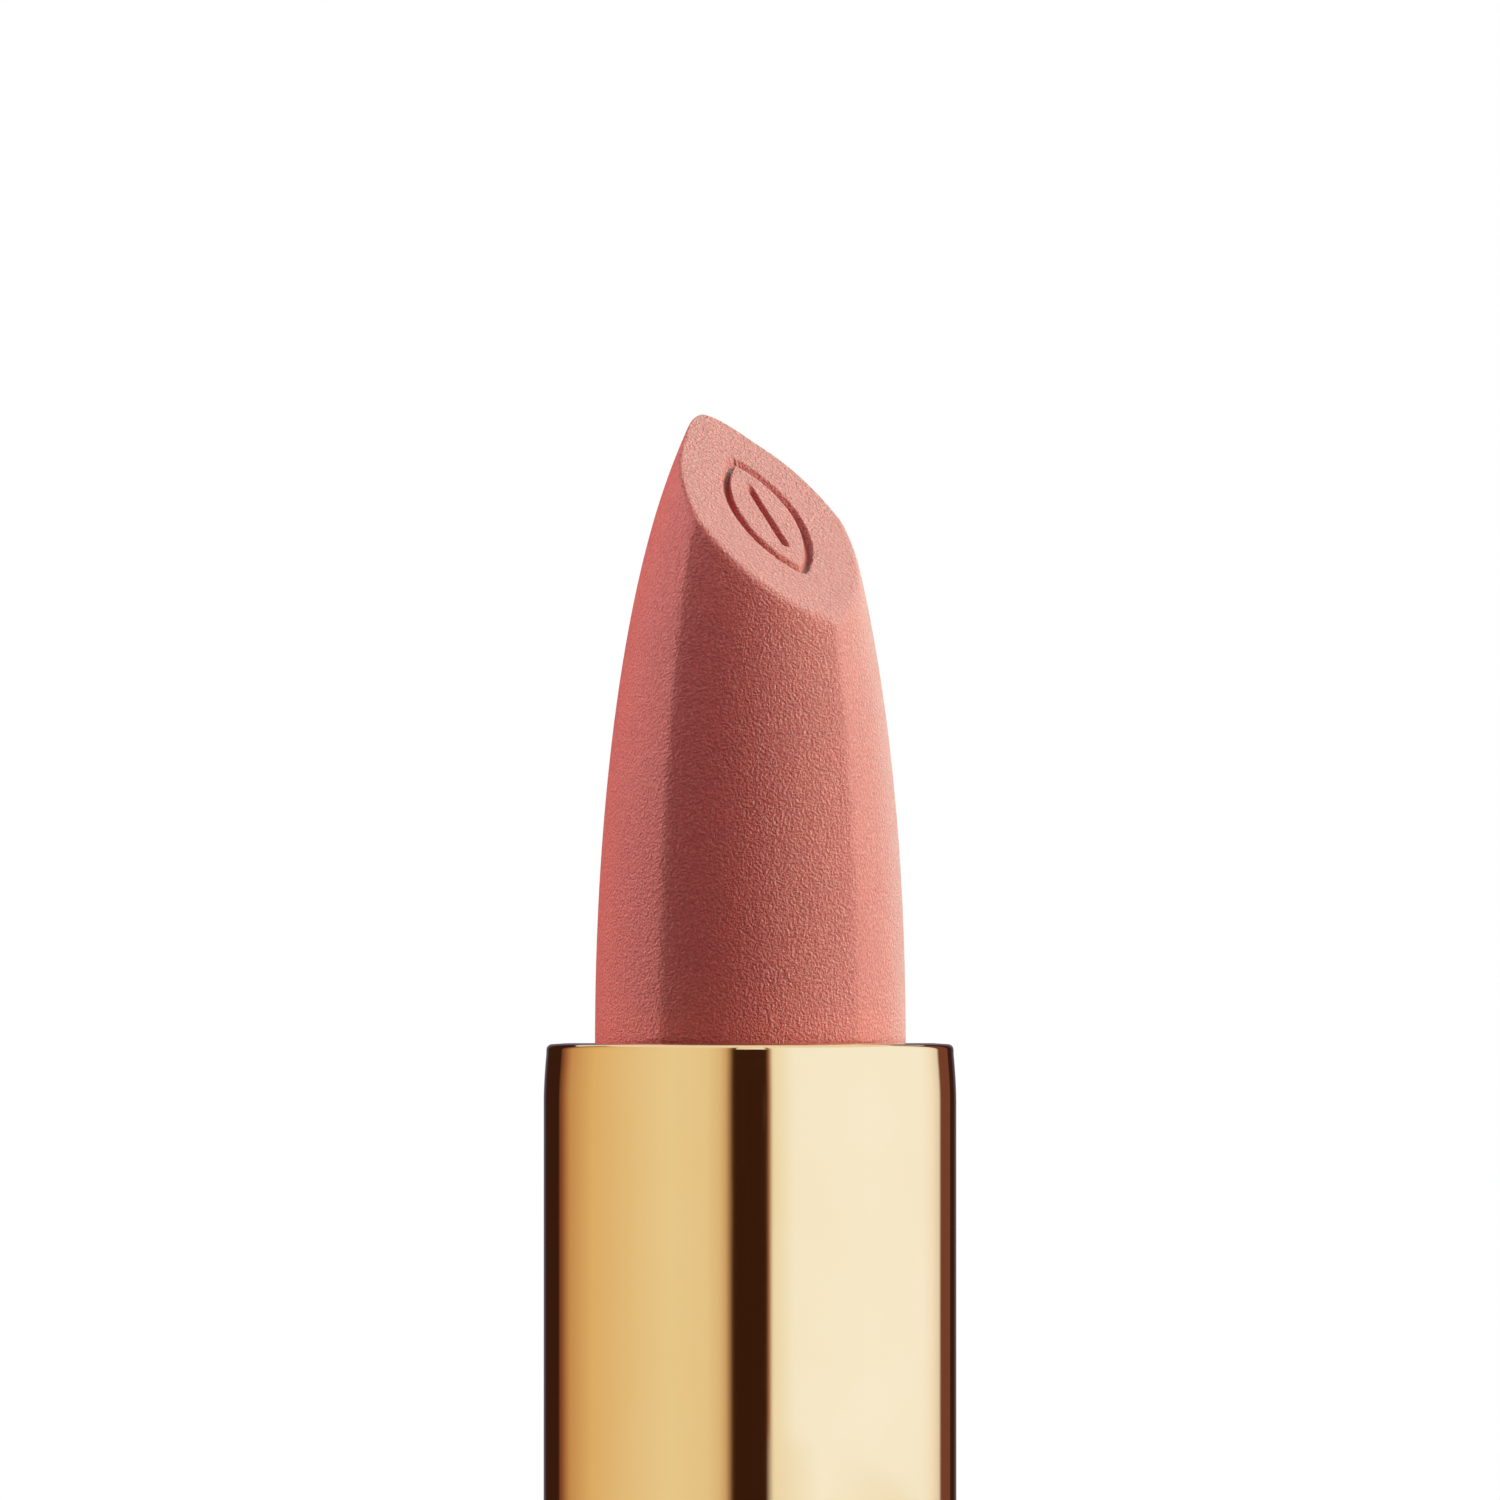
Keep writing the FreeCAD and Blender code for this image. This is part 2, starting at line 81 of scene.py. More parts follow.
class Shader:
    """A material being wired up: each call adds one node and returns the socket it gives."""

    def __init__(self, name):
        self.material = bpy.data.materials.new(name)
        self.material.use_nodes = True
        self.tree = self.material.node_tree
        self.bsdf = self.tree.nodes["Principled BSDF"]
        self.place = self.add("ShaderNodeTexCoord").outputs["Object"]

    def add(self, kind, **settings):
        """A new node of this kind, with its properties set."""
        node = self.tree.nodes.new(kind)
        for key, value in settings.items():
            setattr(node, key, value)
        return node

    def feed(self, socket, value):
        """Links a socket into this one, or sets this one to a plain value."""
        if isinstance(value, bpy.types.NodeSocket):
            self.tree.links.new(value, socket)
        else:
            socket.default_value = value

    def set(self, **inputs):
        """Sets inputs of the Principled node, with _ for a space in a name."""
        for key, value in inputs.items():
            self.feed(self.bsdf.inputs[key.replace("_", " ")], value)

    def stretch(self, x, y, z):
        """The object's own coordinates, scaled, to draw a pattern out along an axis."""
        node = self.add("ShaderNodeMapping")
        node.inputs["Scale"].default_value = (x, y, z)
        self.feed(node.inputs["Vector"], self.place)
        return node.outputs["Vector"]

    def noise(self, size_mm, detail=3.0, rough=0.5, at=None):
        """Noise whose blobs are about size_mm across."""
        node = self.add("ShaderNodeTexNoise")
        node.inputs["Scale"].default_value = 1 / (size_mm * MM)
        node.inputs["Detail"].default_value = detail
        node.inputs["Roughness"].default_value = rough
        self.feed(node.inputs["Vector"], at or self.place)
        return node.outputs["Fac"]

    def ramp(self, value, *stops):
        """Colour ramp through (position, colour) stops; a bare number is a grey."""
        node = self.add("ShaderNodeValToRGB")
        items = node.color_ramp.elements
        while len(items) < len(stops):
            items.new(0.5)
        for item, (position, colour) in zip(items, stops):
            item.position = position
            if isinstance(colour, (int, float)):
                colour = (colour,) * 3
            item.color = (*colour, 1)
        self.feed(node.inputs["Fac"], value)
        return node.outputs["Color"]

    def math(self, how, a, b=0.0, c=0.0):
        node = self.add("ShaderNodeMath", operation=how)
        for socket, value in zip(node.inputs, (a, b, c)):
            self.feed(socket, value)
        return node.outputs[0]

    def remap(self, value, low, high, to_low=0.0, to_high=1.0):
        node = self.add("ShaderNodeMapRange")
        keys = ("Value", "From Min", "From Max", "To Min", "To Max")
        for key, item in zip(keys, (value, low, high, to_low, to_high)):
            self.feed(node.inputs[key], item)
        return node.outputs["Result"]

    def mix(self, factor, a, b):
        """Colour a where the factor is 0 and b where it is 1."""
        node = self.add("ShaderNodeMix", data_type="RGBA")
        self.feed(node.inputs["Factor"], factor)
        for index, item in ((MIX_A, a), (MIX_B, b)):
            if isinstance(item, tuple):
                item = (*item, 1)
            self.feed(node.inputs[index], item)
        return node.outputs[MIX_COLOUR_OUT]

    def bump(self, height, depth_mm, strength=1.0):
        node = self.add("ShaderNodeBump")
        node.inputs["Strength"].default_value = strength
        node.inputs["Distance"].default_value = depth_mm * MM
        self.feed(node.inputs["Height"], height)
        return node.outputs["Normal"]


# ---- Materials ----------------------------------------------------------------------------

GOLD = (0.93, 0.70, 0.36)


def polished_gold(name, wear=0.0):
    """Bright anodised gold: a faint drawn grain round the wall, hazy patches and hair scratches."""
    s = Shader(name)
    haze = s.noise(6.0, 2)
    drawn = s.noise(0.5, 2, at=s.stretch(0.04, 0.04, 1))
    scratch_at = s.stretch(1, 1, 0.03)
    scratches = s.ramp(s.noise(0.18, 1, at=scratch_at), (0.0, 0.0), (0.69, 0.0), (0.74, 1.0))
    deeper = tuple(c * k for c, k in zip(GOLD, (0.99, 0.97, 0.93)))
    tone = s.mix(s.remap(haze, 0.3, 0.7), GOLD, deeper)
    rough = s.remap(haze, 0.3, 0.7, 0.045, 0.070)
    rough = s.math("ADD", rough, s.math("MULTIPLY", scratches, 0.03 + wear))
    normal = s.bump(drawn, 0.0006, 0.5)
    s.set(Base_Color=tone, Metallic=1.0, Roughness=rough, Normal=normal)
    return s.material


def plastic(name, colour, rough, grain_mm=0.3, depth_mm=0.004, wax=0.0):
    """Moulded plastic: slight colour drift, a matt mould texture and paler specks."""
    s = Shader(name)
    drift = s.noise(5.0, 3)
    grain = s.noise(grain_mm, 4, 0.6)
    tone = s.mix(s.remap(drift, 0.3, 0.7), colour, tuple(c * 0.88 for c in colour))
    speck = s.remap(grain, 0.62, 0.75, 0.0, 0.25)
    tone = s.mix(speck, tone, tuple(min(c * 1.2, 1) for c in colour))
    s.set(
        Base_Color=tone,
        Roughness=s.remap(grain, 0.3, 0.7, rough * 0.85, rough * 1.15),
        Subsurface_Weight=wax,
        Subsurface_Radius=(0.001, 0.0008, 0.0006),
        Normal=s.bump(grain, depth_mm),
    )
    return s.material


def turned_steel(name):
    """Turned zinc-plated steel with concentric tool marks."""
    s = Shader(name)
    rings = s.add("ShaderNodeTexWave", wave_type="RINGS", rings_direction="Z")
    rings.inputs["Scale"].default_value = 1500
    rings.inputs["Distortion"].default_value = 1.5
    s.feed(rings.inputs["Vector"], s.place)
    cloud = s.noise(2.5, 4)
    tone = s.mix(s.remap(cloud, 0.3, 0.7), (0.60, 0.60, 0.62), (0.47, 0.47, 0.50))
    s.set(
        Base_Color=tone,
        Metallic=1.0,
        Roughness=s.remap(cloud, 0.3, 0.7, 0.28, 0.4),
        Normal=s.bump(rings.outputs["Fac"], 0.004),
    )
    return s.material


def paper(name):
    """Blank label paper with short fibres."""
    s = Shader(name)
    fibres = s.noise(0.25, 5, 0.7, at=s.stretch(1, 0.25, 1))
    tone = s.ramp(fibres, (0.3, (0.78, 0.74, 0.68)), (0.6, (0.87, 0.84, 0.79)))
    s.set(Base_Color=tone, Roughness=0.8, Normal=s.bump(fibres, 0.01))
    return s.material


def lipstick_wax(name):
    """Matt pressed wax: fine grain with painted shade in its pits and a painted highlight on its
    peaks, dark flecks and a soft bloom.
    """
    s = Shader(name)
    grain = s.noise(0.11, 2, 0.55)
    fine = s.noise(0.06, 2, 0.6)
    coarse = s.noise(0.28, 3, 0.6)
    drift = s.noise(3.5, 2)
    body, deeper = (0.54, 0.100, 0.075), (0.51, 0.090, 0.071)
    # the pit colour is painted shade and the peak colour a painted highlight; the fleck colour is
    # the wax's own
    pit_shade_colour, peak_highlight_colour, fleck = (0.35, 0.052, 0.032), (0.66, 0.23, 0.17), (0.32, 0.050, 0.028)
    tone = s.mix(s.remap(drift, 0.35, 0.65), body, deeper)
    # painted shade in the grain's pits and a painted highlight on its peaks, following the bump's
    # low and high places
    tone = s.mix(s.remap(grain, 0.52, 0.30, 0.0, 0.6), tone, pit_shade_colour)
    tone = s.mix(s.remap(grain, 0.55, 0.75, 0.0, 0.6), tone, peak_highlight_colour)
    flecks = s.remap(s.noise(0.10, 1, 0.5, at=s.stretch(1, 1, 0.8)), 0.62, 0.70, 0.0, 0.55)
    tone = s.mix(flecks, tone, fleck)
    height = s.math("ADD", grain, s.math("MULTIPLY", fine, 0.35))
    height = s.math("ADD", height, s.math("MULTIPLY", coarse, 0.35))
    s.set(
        Base_Color=tone,
        Roughness=s.remap(fine, 0.3, 0.7, 0.44, 0.52),
        IOR=1.5,
        Specular_IOR_Level=0.5,
        Sheen_Weight=0.14,
        Sheen_Roughness=0.3,
        Sheen_Tint=(1, 0.93, 0.84, 1),
        Normal=s.bump(height, 0.08, 1.0),
    )
    return s.material


# ---- Mesh helpers -------------------------------------------------------------------------


def new_object(name, points_mm, faces, material):
    """A mesh object at the origin from millimetre points, shaded smooth but for its sharp edges."""
    mesh = bpy.data.meshes.new(name)
    mesh.from_pydata((np.asarray(points_mm) * MM).tolist(), [], faces)
    mesh.validate()
    mesh.shade_smooth()
    mesh.set_sharp_from_angle(angle=math.radians(40))
    mesh.materials.append(material)
    obj = bpy.data.objects.new(name, mesh)
    bpy.context.scene.collection.objects.link(obj)
    return obj


def rounded(corners, steps=7):
    """Turns (r, z, fillet) corners of an open line into (r, z) points with round corners."""
    spots = [np.array(c[:2], float) for c in corners]
    out = [tuple(spots[0])]
    for i in range(1, len(spots) - 1):
        here, fillet = spots[i], corners[i][2]
        if fillet <= 0:
            out.append(tuple(here))
            continue
        to_a, to_b = spots[i - 1] - here, spots[i + 1] - here
        to_a, to_b = to_a / np.linalg.norm(to_a), to_b / np.linalg.norm(to_b)
        half = math.acos(np.clip(to_a @ to_b, -1, 1)) / 2
        reach = fillet / math.tan(half)
        bisector = (to_a + to_b) / np.linalg.norm(to_a + to_b)
        centre = here + bisector * fillet / math.sin(half)
        a, b = here + to_a * reach - centre, here + to_b * reach - centre
        turn = math.atan2(a[0] * b[1] - a[1] * b[0], a @ b)
        for k in range(steps + 1):
            t = turn * k / steps
            c, d = math.cos(t), math.sin(t)
            out.append((centre[0] + a[0] * c - a[1] * d, centre[1] + a[0] * d + a[1] * c))
    out.append(tuple(spots[-1]))
    return out


ON_AXIS = 1e-6  # a radius below this is on the axis


def lathe(name, line, material, centre=(0, 0), columns=288):
    """Turns an (r, z) line about the vertical through centre. A line that ends where it starts
    is closed; an end on the axis becomes one point."""
    loop = np.array(line)
    r, z = loop[:, 0], loop[:, 1]
    if np.sum(r * np.roll(z, -1) - np.roll(r, -1) * z) < 0:
        line = line[::-1]
    closed = np.allclose(line[0], line[-1])
    rows = line[:-1] if closed else line
    points, starts = [], []
    for r, z in rows:
        starts.append(len(points))
        count = 1 if r < ON_AXIS else columns
        for k in range(count):
            a = 2 * math.pi * k / columns
            points.append((centre[0] + r * math.cos(a), centre[1] + r * math.sin(a), z))
    faces = []
    pairs = list(zip(range(len(rows)), list(range(1, len(rows))) + [0]))
    for i, j in pairs if closed else pairs[:-1]:
        for k in range(columns):
            n = (k + 1) % columns
            a = [starts[i] + k, starts[i] + n] if rows[i][0] > ON_AXIS else [starts[i]]
            b = [starts[j] + n, starts[j] + k] if rows[j][0] > ON_AXIS else [starts[j]]
            faces.append(a + b)
    return new_object(name, points, faces, material)


# ---- The bullet ---------------------------------------------------------------------------

BULLET_R = 6.05
BULLET_TURN = math.radians(41)  # the front ridge, to the right of straight ahead
OGIVE_H, BACK_OGIVE_H = 26.0, 27.5
RIDGE_SPAN = 74.0  # degrees from the front ridge to the ridge on each side of it
BACK_FROM = (180 + RIDGE_SPAN) / 2  # degrees from the front ridge; past it the back is taller
FACET_LOW, FACET_MORE = 0.045, 0.015  # facet depth over radius: low down, and added higher up
FACET_FROM, FACET_RISE, MORE_RISE = -0.5, 0.6, 10  # where facets start; heights they deepen over
RIDGE_SOFTNESS = 1.5  # degrees
ROOT_STEP, ROOT_FROM, ROOT_DROP = 0.03, -0.4, 0.1  # the slimmer foot: depth, start and length
SLANT, SLANT_H = 1.06, 21.65
TIP_RUN, TIP_H = -2.85, 24.67
TIP_BLEND, EDGE_BLEND = 0.05, 0.11  # rounding of the slant's edge: at the tip, added further on
BLEND_RUN = 1.5  # the rounding grows over this run from the tip
MARK_RUN, MARK_HALF_L, MARK_HALF_W = 1.0, 3.0, 1.5
MARK_DEPTH, MARK_FLAT, MARK_SIDE = 0.26, 0.07, 0.13


def smooth(t):
    """0 up to t = 0 and 1 from t = 1, with a smooth step between."""
    t = np.clip(t, 0, 1)
    return t * t * (3 - 2 * t)


def side_radius(run, across, h):
    """Radius of the bullet's side at a place: four bowed facets between four soft ridges. Here
    and below, run is measured towards the front ridge, across to its side, and h up from the
    sleeve's rim."""
    angle = np.abs(np.degrees(np.arctan2(across, run)))
    rise = np.clip(h, 0, OGIVE_H - 0.01)
    middle = BULLET_R * np.sqrt(1 - (rise / OGIVE_H) ** 2)
    back = BULLET_R * np.sqrt(1 - (rise / BACK_OGIVE_H) ** 2)
    depth = FACET_LOW * smooth((h - FACET_FROM) / FACET_RISE)
    depth = depth + FACET_MORE * smooth(h / MORE_RISE)
    half = np.where(angle < RIDGE_SPAN, RIDGE_SPAN / 2, (180 - RIDGE_SPAN) / 2)
    facet = np.where(angle < RIDGE_SPAN, RIDGE_SPAN / 2, (180 + RIDGE_SPAN) / 2)
    inward = np.sqrt((half - np.abs(angle - facet)) ** 2 + RIDGE_SOFTNESS**2)
    off = np.radians(half - inward)
    half = np.radians(half)
    bow = depth / (1 - np.cos(half))
    middle = middle - ROOT_STEP * smooth((ROOT_FROM - h) / ROOT_DROP)
    backward = smooth((angle - BACK_FROM) / (180 - BACK_FROM))
    ridge = middle / (1 - depth) + (back - middle) / (1 - depth) * backward
    return ridge * (1 - bow * (1 - np.cos(half) / np.cos(off)))


def mark_depth(run, across):
    """Depth of the pressed mark, a pointed oval of two arcs with a short line down its middle."""
    along = (run - MARK_RUN) * math.sqrt(1 + SLANT**2)
    bend = (MARK_HALF_L**2 + MARK_HALF_W**2) / (2 * MARK_HALF_W)
    shift = bend - MARK_HALF_W
    past = np.maximum(np.abs(along) - MARK_HALF_L, 0)
    far_off = 9  # keeps each arc to its own side
    near = [np.abs(np.hypot(across + s * shift, along) - bend) + past * 2 for s in (1, -1)]
    near = [np.where(s * across > -0.1, n, far_off) for s, n in zip((1, -1), near)]
    vein = np.hypot(across, np.maximum(np.abs(along) - MARK_HALF_L / 2, 0))
    distance = np.minimum(np.minimum(near[0], near[1]), vein)
    return MARK_DEPTH * (1 - smooth((distance - MARK_FLAT) / MARK_SIDE))


def bullet_field(run, across, h):
    """Negative inside the bullet and positive outside, in about millimetres."""
    side = np.hypot(run, across) - side_radius(run, across, h)
    slant = (h - SLANT_H + SLANT * run) / math.sqrt(1 + SLANT**2)
    slant = slant + mark_depth(run, across)
    blend = TIP_BLEND + EDGE_BLEND * smooth((run - TIP_RUN) / BLEND_RUN)
    gap = np.maximum(0, 1 - np.abs(side - slant) / blend)
    return np.maximum(side, slant) + blend / 4 * gap**2


def make_bullet(material):
    """Rays from a point on the axis reach the upper part, with their pole at the tip;
    below them the columns drop straight down the side into the cup."""
    columns, upper, lower = 330, 168, 112
    core_h = 13.0  # height of the point that the rays start from
    crowding = 0.30  # brings columns closer together on the slanted face
    seam_h = -0.8  # where the dropping columns end their even steps, just below the rim
    past, halvings = 16.0, 36  # a length outside along every ray, and how often it is halved
    pole = np.array([TIP_RUN, 0, TIP_H - core_h])
    pole /= np.linalg.norm(pole)
    east = np.array([pole[2], 0, -pole[0]])
    turn = np.linspace(-math.pi, math.pi, columns, endpoint=False)
    turn = turn - crowding * np.sin(turn)
    points = []
    rows = []
    for i in range(upper + 1):
        polar = math.radians(90) * i / upper
        round_turn = turn[:1] if i == 0 else turn
        ray = np.outer(np.full(len(round_turn), math.cos(polar)), pole)
        ray += math.sin(polar) * np.outer(np.cos(round_turn), east)
        ray[:, 1] += math.sin(polar) * np.sin(round_turn)
        near, far = np.zeros(len(ray)), np.full(len(ray), past)
        for _ in range(halvings):
            half = (near + far) / 2
            spot = ray * half[:, None]
            inside = bullet_field(spot[:, 0], spot[:, 1], spot[:, 2] + core_h) < 0
            near, far = np.where(inside, half, near), np.where(inside, far, half)
        spot = ray * near[:, None] + [0, 0, core_h]
        rows.append(np.arange(len(points), len(points) + len(spot)))
        points.extend(spot)
    edge = np.array(points[-columns:])
    face_turn = np.arctan2(edge[:, 1], edge[:, 0])
    root_h = CUP_LOW[2] + CUP_FLOOR - RIM_Z
    # Shares of the way down to the seam, then plain heights below it.
    drops = list(np.linspace(0, 1, lower + 1)[1:]) + [-1.6, -4.0, root_h + 0.3, root_h + 0.02]
    for drop in drops:
        h = edge[:, 2] * (1 - drop) + seam_h * drop if drop > 0 else np.full(columns, drop)
        r = side_radius(np.cos(face_turn), np.sin(face_turn), h)
        rows.append(np.arange(len(points), len(points) + columns))
        points.extend(np.stack([r * np.cos(face_turn), r * np.sin(face_turn), h], 1))
    rows.append(np.array([len(points)]))
    points.append(np.array([0, 0, root_h + 0.02]))
    faces = []
    for above, below in zip(rows, rows[1:]):
        for k in range(columns):
            n = (k + 1) % columns
            a = [above[k], above[n]] if len(above) > 1 else [above[0]]
            b = [below[n], below[k]] if len(below) > 1 else [below[0]]
            faces.append([int(v) for v in reversed(a + b)])
    points = np.array(points)
    run, across, h = points.T
    x = run * math.sin(BULLET_TURN) + across * math.cos(BULLET_TURN)
    y = -run * math.cos(BULLET_TURN) + across * math.sin(BULLET_TURN)
    obj = new_object("bullet_stick", np.stack([x, y, h + RIM_Z], 1), faces, material)
    for mesh_edge in obj.data.edges:
        mesh_edge.use_edge_sharp = False
    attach(obj, "carrier")
    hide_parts("bullet")
    return obj


# ---- The bright metal pieces --------------------------------------------------------------

SHELL_WALL, SLEEVE_WALL = 0.45, 0.35
SEAT_GAP = 0.05  # round a label or a plate that lies in a recess
LONG_RUN = 6.0  # a ring of points this far below a shell's upper end keeps its wall's shading even


def metal_piece(name, line, body, node, material, centre=(0, 0)):
    """A turned piece that rides on a body and stands for a CAD node."""
    obj = lathe(name, line, material, centre)
    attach(obj, body)
    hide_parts(node)
    return obj


def make_sleeve(material):
    """Drawn wall with a shoulder over the base, a slight draw-in, a rolled rim and a thin lip."""
    inner, lip = SLEEVE_R - SLEEVE_WALL, 6.6
    draw_in, draw_from, draw_rise, steps = 0.10, 2.2, 1.75, 7
    neck = SLEEVE_R - draw_in
    low = SLEEVE_LOW[2] + 0.01
    hidden, shoulder = SLEEVE_R - SLEEVE_STEP, COLLAR_HIGH[2] + RUN_GAP
    line = [(hidden, low, 0), (hidden, shoulder, 0), (SLEEVE_R, shoulder, 0.02)]
    line += [(SLEEVE_R, RIM_Z - draw_from, 0)]
    for k in range(1, steps + 1):
        t = k / steps
        line.append((SLEEVE_R - draw_in * t**1.6, RIM_Z - draw_from + draw_rise * t, 0))
    line += [(neck - 0.01, RIM_Z - 0.055, 0.22), (7.2, RIM_Z - 0.005, 0), (7.0, RIM_Z, 0)]
    line += [(lip, RIM_Z - 0.01, 0.14), (lip, RIM_Z - 0.34, 0.14), (inner, RIM_Z - 0.36, 0.3)]
    line += [(inner, low, 0)]
    points = rounded(line)
    return metal_piece("sleeve_wall", points + points[:1], "sleeve", "sleeve_shell", material)


def make_collar(name, body, node, low, high, inner, material, centre=(0, 0)):
    """Trim ring with broken edges and a fine waist line."""
    middle = (low + high) / 2
    depth, reach, half_step = 0.18, 0.27, 0.33
    corners = [(inner, low, 0), (inner + 0.5, low, 0), (CASE_R, low, 0.22)]
    corners += [(CASE_R, middle - half_step, 0)]
    for a in np.linspace(-1.35, 1.35, 11):
        r = CASE_R - depth + depth * (1 - math.cos(a))
        corners.append((r, middle + reach * math.sin(a), 0))
    corners += [(CASE_R, middle + half_step, 0), (CASE_R, high, 0.22)]
    corners += [(inner, high, 0.14), (inner, low + 0.1, 0)]
    points = rounded(corners)
    return metal_piece(name, points + points[:1], body, node, material, centre)


def make_base_shell(material):
    """Drawn cup, open at the top, with a shallow recess for the label underneath."""
    low, high, inner = BASE_LOW[2], BASE_HIGH[2], CASE_R - SHELL_WALL
    label_low, label_high = span("shade_label")
    seat = (label_high[0] - label_low[0]) / 2 + SEAT_GAP
    recess, floor_top, foot_round = 0.15, 0.6, 0.7
    corners = [(0, recess, 0), (seat, recess, 0), (seat, low, 0.06), (CASE_R, low, foot_round)]
    corners += [(CASE_R, high - LONG_RUN, 0), (CASE_R, high, 0.1), (inner, high, 0.1)]
    corners += [(inner, floor_top, 0.3), (0, floor_top, 0)]
    return metal_piece("base_wall", rounded(corners), "base", "base_shell", material)


def make_cap_shell(material):
    """Drawn cup, open at the bottom, with a seat for the top plate."""
    low, high, inner = CAP_LOW[2], CAP_HIGH[2], CASE_R - SHELL_WALL
    ceiling, seat_z, shoulder_round = high - 0.9, high - 0.4, 0.8
    seat = PLATE_R + SEAT_GAP
    corners = [(0, ceiling, 0), (inner, ceiling, 0.3), (inner, low, 0.1), (CASE_R, low, 0.1)]
    corners += [(CASE_R, high - LONG_RUN, 0), (CASE_R, high, shoulder_round)]
    corners += [(seat, high, 0.08), (seat, seat_z, 0), (0, seat_z, 0)]
    return metal_piece("cap_wall", rounded(corners), "cap", "cap_shell", material, CAP_CENTRE)


def make_cap_plate(material):
    """Slightly domed top plate with a turned step near its edge."""
    low, high = PLATE_LOW[2], PLATE_HIGH[2]
    dome_r, sag = 6.6, 0.05
    dome = [(r, high - sag * (r / dome_r) ** 2, 0) for r in np.linspace(0, dome_r, 9)]
    corners = dome + [(6.75, high - 0.12, 0.05), (6.9, high - sag, 0.05)]
    corners += [(PLATE_R, high - sag, 0.1), (PLATE_R, low, 0), (0, low, 0)]
    return metal_piece("cap_plate", rounded(corners), "cap", "cap_top_plate", material, CAP_CENTRE)


# ---- The studio ---------------------------------------------------------------------------

CARD_R, CARD_TOP = 450, 900
FLOOR_Z, CARD_FOOT_Z = -0.02, -0.03
WALL = [(CARD_R, CARD_TOP), (CARD_R, 0)]
GROUND = [(CARD_R, 0), (CASE_R + 0.1, CARD_FOOT_Z)]
OVER_THE_PIECES = [(CARD_R, CARD_TOP), (CARD_R, 150)]  # above what a level reflection reaches


def over_gold(colour):
    """The light that looks like colour once polished gold has reflected it."""
    return tuple(c / g for c, g in zip(colour, GOLD))


def glow(s, colour):
    """Makes the shader s a plain glow of the given colour, a tuple or a socket."""
    node = s.add("ShaderNodeEmission")
    s.feed(node.inputs["Color"], colour if not isinstance(colour, tuple) else (*colour, 1))
    s.tree.links.new(node.outputs[0], s.tree.nodes["Material Output"].inputs["Surface"])


def only_in_reflections(obj):
    """Hides a studio piece from everything but reflections."""
    obj.visible_camera = False
    obj.visible_diffuse = False
    obj.visible_shadow = False
    obj.visible_transmission = False


def glowing_dome(name, colour):
    """A pale dome over everything, high enough to miss reflections seen level with the object."""
    s = Shader(name + "_glow")
    glow(s, over_gold(colour))
    line = [(0, 900), (270, 850), (430, 620), (480, 330)]
    only_in_reflections(lathe(name, line, s.material, columns=48))


def glowing_card(name, start, end, stops, line):
    """A curved card round the object that shows only in reflections: an (r, z) line turned from
    start to end. Angles are degrees to the right of the front. Stops are (angle, colour), where
    the colour is how gold looks when it reflects that part of the card."""
    steps = 96
    points, faces = [], []
    for k in range(steps + 1):
        a = math.radians(start + (end - start) * k / steps)
        points += [(r * math.sin(a), -r * math.cos(a), z) for r, z in line]
    rows = len(line)
    for k in range(steps):
        for j in range(rows - 1):
            i = k * rows + j
            faces.append([i, i + 1, i + 1 + rows, i + rows])
    s = Shader(name + "_glow")
    split = s.add("ShaderNodeSeparateXYZ")
    s.feed(split.inputs[0], s.place)
    angle = s.math("ARCTAN2", split.outputs[0], s.math("MULTIPLY", split.outputs[1], -1))
    angle = s.math("DIVIDE", angle, math.radians(1))
    if end > 180:
        angle = s.math("WRAP", angle, 360)
    places = [((a - start) / (end - start), over_gold(c)) for a, c in stops]
    glow(s, s.ramp(s.remap(angle, start, end), *places))
    only_in_reflections(new_object(name, points, faces, s.material))


def softbox(name, azimuth, height, distance, width, tall, watts, colour, aim_z):
    """A rectangular light facing the axis at aim_z, azimuth degrees to the right of the front."""
    light = bpy.data.lights.new(name, "AREA")
    light.shape = "RECTANGLE"
    light.size, light.size_y = width * MM, tall * MM
    light.energy = watts
    light.color = colour
    obj = bpy.data.objects.new(name, light)
    bpy.context.scene.collection.objects.link(obj)
    a = math.radians(azimuth)
    spot = np.array([distance * math.sin(a), -distance * math.cos(a), height]) * MM
    look = np.array([0, 0, aim_z * MM]) - spot
    look = look / np.linalg.norm(look)
    side = np.cross(look, [0, 0, 1])
    side /= np.linalg.norm(side)
    up = np.cross(side, look)
    matrix = np.eye(4)
    matrix[:3, 0], matrix[:3, 1], matrix[:3, 2], matrix[:3, 3] = side, up, -look, spot
    obj.matrix_world = Matrix(matrix.tolist())
    obj.visible_camera = False
    return obj


def sky_light(name, azimuth, elevation, strength):
    """Even, very soft light from high up, azimuth degrees to the right of the front."""
    light = bpy.data.lights.new(name, "SUN")
    light.energy = strength
    light.angle = math.radians(70)
    obj = bpy.data.objects.new(name, light)
    bpy.context.scene.collection.objects.link(obj)
    obj.rotation_euler = (math.radians(90 - elevation), 0, math.radians(azimuth))
    return obj


def make_floor():
    """Plain pale floor with no shine, which metal doesn't mirror and which throws no light back."""
    s = Shader("floor_paper")
    fibres = s.noise(1.5, 4)
    tone = s.ramp(fibres, (0.3, 0.84), (0.7, 0.87))
    normal = s.bump(fibres, 0.02, 0.3)
    s.set(Base_Color=tone, Roughness=0.7, Specular_IOR_Level=0.0, Normal=normal)
    line = [(0, FLOOR_Z), (300, FLOOR_Z), (600, FLOOR_Z)]
    obj = lathe("studio_floor", line, s.material, columns=96)
    obj.visible_diffuse = False
    obj.visible_glossy = False


